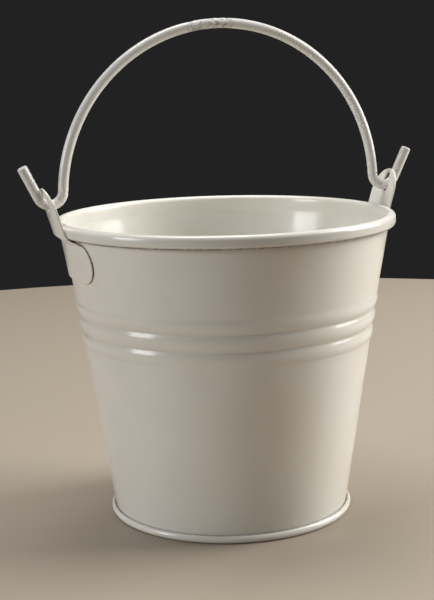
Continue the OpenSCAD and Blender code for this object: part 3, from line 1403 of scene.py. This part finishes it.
@dataclass
class Bail:
    """The wire bail: a bow, a bend through each ear and a straight hook beyond it."""

    wire_radius: float = 1.6
    hinge_out: float = 57.225
    hinge_height: float = 104.1
    bend_radius: float = 4.15
    bow_height: float = 105.2
    bow_radius: float = 53.156
    bow_start: float = 3.051
    hook_lean: float = 26.0
    hook_length: float = 10.8
    end_round: float = 0.5
    # Where the points of the rounded end lie, back from the tip.
    end_stops: tuple[float, ...] = (0.5, 0.42, 0.33, 0.24, 0.16, 0.09, 0.03)
    step: float = 0.3
    points_round: int = 52
    chips_from: float = -13.0
    chips_to: float = 4.5
    chips_rise: float = 0.12
    chips_size: float = 1.2
    chips_fade: float = 2.5
    rub_spread: float = 2.2
    rub_share: float = 0.8
    tip_rub: float = 0.7
    tip_share: float = 0.9

    def path(self) -> np.ndarray:
        """The line through the middle of the wire, from the left hook's end to the right one's.

        Returns:
            Its (across, height) points, evenly spaced apart from the ends.
        """
        centre = (self.hinge_out, self.hinge_height + self.bend_radius)
        half = Trace()
        half.arc((0.0, self.bow_height), self.bow_radius, 90, self.bow_start, self.step)
        half.arc(centre, self.bend_radius, 180 + self.bow_start, 360 - self.hook_lean, self.step)
        lean = math.radians(self.hook_lean)
        start = half.points[-1]
        shares = [k / 30 for k in range(1, 29)]
        shares += [1 - back / self.hook_length for back in self.end_stops]
        for share in (*shares, 1.0):
            reach = share * self.hook_length
            half.points.append((start[0] + reach * math.sin(lean), start[1] + reach * math.cos(lean)))
        right = np.array(half.points)
        left = right[1:][::-1] * (-1, 1)
        return np.concatenate([left, right])

    def build(self, tree: BentWireTree, finish: bpy.types.Material) -> bpy.types.Object:
        """Draws the wire along its path.

        Args:
            tree: The tree that draws a wire.
            finish: The enamel.

        Returns:
            The finished bail.
        """
        path = self.path()
        along = distance_along(path)
        to_end = np.minimum(along, along[-1] - along)
        back = np.clip(self.end_round - to_end, 0.0, None)
        drop = self.end_round - np.sqrt(np.maximum(self.end_round**2 - back**2, 0.0))
        girth = 1.0 - drop / self.wire_radius
        over = path[:, 0]
        top = path[:, 1] > self.hinge_height + 10
        after = np.clip((over - self.chips_from) / self.chips_fade, 0, 1)
        before = np.clip((self.chips_to - over) / self.chips_fade, 0, 1)
        by_ear = hump(np.abs(over), self.hinge_out, self.rub_spread) * (path[:, 1] < self.hinge_height + 3)
        by_tip = np.clip(1.0 - to_end / self.tip_rub, 0.0, 1.0)
        rubbed = np.maximum(self.rub_share * by_ear, self.tip_share * by_tip)
        blank = bpy.data.meshes.new("bail_path")
        spots = [(x * MM, 0.0, z * MM) for x, z in path]
        blank.from_pydata(spots, [(k, k + 1) for k in range(len(path) - 1)], [])
        carry(blank, girth=girth, chipped=after * before * top, rubbed=rubbed, tuck=0 * girth)
        values = {
            "Finish": finish,
            "Wire radius": self.wire_radius * MM,
            "Points round": self.points_round,
            "Lump rise": self.chips_rise * MM,
            "Lump size": self.chips_size * MM,
        }
        piece = tree.form("bail_wire", blank, values)
        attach(piece, Body.BAIL.value)
        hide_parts("bail")
        return piece


@dataclass
class Bucket:
    """The whole bucket."""

    wall: PailWall = field(default_factory=PailWall)
    ear: Ear = field(default_factory=Ear)
    bail: Bail = field(default_factory=Bail)

    def build(self) -> list[bpy.types.Object]:
        """Builds every piece and reports it.

        Returns:
            The finished pieces.
        """
        pail_coat = IvoryEnamel("ivory_enamel").make()
        ear_coat = IvoryEnamel("ivory_enamel_ears", peel_length=1.8, speck_share=0.16).make()
        wire_coat = WireEnamel(
            "ivory_enamel_wire", peel_length=2.6, peel_rise=0.012, speck_share=0.2
        ).make()
        turned = TurnedSheetTree()
        pieces = [
            self.wall.build(turned, pail_coat),
            PailBottom(self.wall).build(turned, pail_coat),
            self.ear.build("ear_left", "left_ear", Side.LEFT, ear_coat),
            self.ear.build("ear_right", "right_ear", Side.RIGHT, ear_coat),
            self.bail.build(BentWireTree(), wire_coat),
        ]
        for piece in pieces:
            mesh = piece.data
            LOG.info("%s: %d points, %d faces", piece.name, len(mesh.vertices), len(mesh.polygons))
        return pieces


# ---------------------------------------------------------------- studio


@dataclass(frozen=True)
class SoftBox:
    """A soft rectangular light."""

    name: str
    place: tuple[float, float, float]
    aim: tuple[float, float, float]
    width: float
    height: float
    power: float
    colour: Colour = (1.0, 1.0, 1.0)

    def hang(self) -> bpy.types.Object:
        """Puts the light into the scene, turned to its aim.

        Returns:
            The light.
        """
        lamp = bpy.data.lights.new(self.name, "AREA")
        lamp.shape = "RECTANGLE"
        lamp.size, lamp.size_y = self.width, self.height
        lamp.energy, lamp.color = self.power, self.colour
        holder = into_scene(self.name, lamp)
        holder.location = self.place
        way = Vector(self.aim) - Vector(self.place)
        holder.rotation_euler = way.to_track_quat("-Z", "Y").to_euler()
        return holder


@dataclass
class Studio:
    """A round pale floor in a dim room, soft lights and the camera."""

    floor_colour: Colour = (0.36, 0.305, 0.24)
    floor_radius: float = 0.45
    floor_sides: int = 96
    floor_rough: float = 0.6
    room: Colour = (0.016, 0.016, 0.017)
    room_strength: float = 1.0
    eye: tuple[float, float, float] = (-0.14837, -0.40751, 0.15008)
    # The camera's heading, how far it looks down, and its roll, in degrees.
    heading: float = -19.5002
    look_down: float = 10.6961
    roll: float = -1.4031
    lens: float = 53.786
    shift: tuple[float, float] = (0.0032, 0.0064)

    def lights(self) -> list[SoftBox]:
        """The soft lights."""
        middle = (0.0, 0.0, 0.06)
        return [
            SoftBox("window", (0.78, -0.08, 0.46), middle, 0.55, 0.75, 11.5, (1.0, 0.985, 0.96)),
            SoftBox("left_window", (-0.84, -0.06, 0.27), middle, 0.30, 0.42, 3.3, (0.97, 0.98, 1.0)),
            SoftBox("top", (-0.05, 0.20, 0.95), middle, 0.7, 0.5, 7.0),
        ]

    def floor(self) -> bpy.types.Object:
        """Lays the floor.

        Returns:
            The floor.
        """
        size, sides = self.floor_radius, self.floor_sides
        turns = [math.tau * k / sides for k in range(sides)]
        mesh = bpy.data.meshes.new("floor")
        rim = [(size * math.cos(turn), size * math.sin(turn), 0.0) for turn in turns]
        mesh.from_pydata(rim, [], [list(range(sides))])
        material = bpy.data.materials.new("pale_floor")
        material.use_nodes = True
        shader = material.node_tree.nodes["Principled BSDF"]
        shader.inputs["Base Color"].default_value = (*self.floor_colour, 1.0)
        shader.inputs["Roughness"].default_value = self.floor_rough
        mesh.materials.append(material)
        sheet = into_scene("floor", mesh)
        return sheet

    def camera(self) -> bpy.types.Object:
        """Stands the camera where the whole bucket is seen from slightly above.

        Returns:
            The camera.
        """
        lens = bpy.data.cameras.new("camera")
        lens.sensor_fit = "VERTICAL"
        lens.sensor_height = 24.0
        lens.lens = self.lens
        lens.shift_x, lens.shift_y = self.shift
        lens.clip_start, lens.clip_end = 0.01, 20.0
        eye = into_scene("camera", lens)
        turn = (
            Matrix.Rotation(math.radians(self.heading), 4, "Z")
            @ Matrix.Rotation(math.radians(90.0 - self.look_down), 4, "X")
            @ Matrix.Rotation(math.radians(self.roll), 4, "Z")
        )
        eye.matrix_world = Matrix.Translation(self.eye) @ turn
        bpy.context.scene.camera = eye
        return eye

    def build(self) -> None:
        """Sets up the room, the floor, the lights and the camera."""
        scene = bpy.context.scene
        scene.view_settings.view_transform = "Standard"
        room = bpy.data.worlds.new("room")
        room.use_nodes = True
        glow = room.node_tree.nodes["Background"]
        glow.inputs["Color"].default_value = (*self.room, 1.0)
        glow.inputs["Strength"].default_value = self.room_strength
        scene.world = room
        self.floor()
        for light in self.lights():
            light.hang()
        self.camera()


def main() -> None:
    """Builds the studio and the bucket."""
    logging.basicConfig(level=logging.INFO, format="%(name)s: %(message)s")
    Studio().build()
    Bucket().build()


if __name__ == "__main__":
    main()
